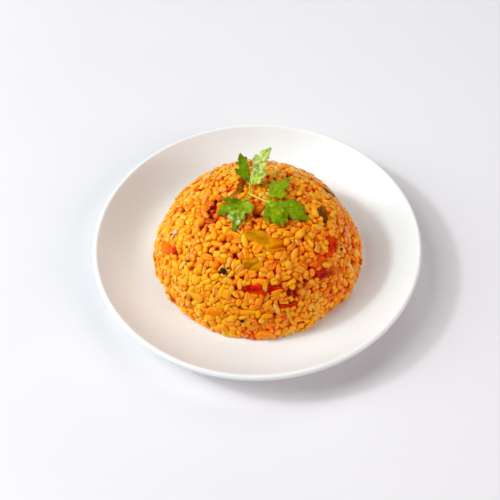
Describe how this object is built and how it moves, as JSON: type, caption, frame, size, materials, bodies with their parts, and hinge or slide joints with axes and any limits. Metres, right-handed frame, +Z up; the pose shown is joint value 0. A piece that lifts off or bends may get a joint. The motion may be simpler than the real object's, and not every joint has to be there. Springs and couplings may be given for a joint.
{
  "type": "plate of bulgur pilaf",
  "caption": "Moulded dome of bulgur pilaf with cooked pepper and tomato pieces and a parsley sprig, on a white coupe plate.",
  "frame": {"origin": "centre of the plate's foot, on the surface the plate stands on", "axes": "+Z up out of the plate, -Y towards the diner, +X to the diner's right"},
  "size_m": [0.23, 0.23, 0.0751],
  "materials": {
    "plate": "smooth white glaze",
    "pilaf": "moist cooked grain, tomato orange to yellow",
    "pepper": "soft cooked green pepper, olive, wet",
    "tomato": "cooked tomato flesh and skin, wet",
    "parsley": "fresh flat-leaf parsley, satin"
  },
  "bodies": {
    "root": {"plate": "plate", "pilaf": "pilaf", "pepper_1": "pepper", "pepper_2": "pepper", "pepper_3": "pepper", "pepper_4": "pepper", "pepper_5": "pepper", "pepper_6": "pepper", "pepper_7": "pepper", "tomato_1": "tomato", "tomato_2": "tomato", "tomato_3": "tomato", "tomato_4": "tomato", "tomato_5": "tomato", "tomato_6": "tomato", "tomato_7": "tomato", "tomato_8": "tomato", "tomato_9": "tomato", "tomato_10": "tomato", "tomato_11": "tomato", "parsley": "parsley"}
  },
  "joints": []
}
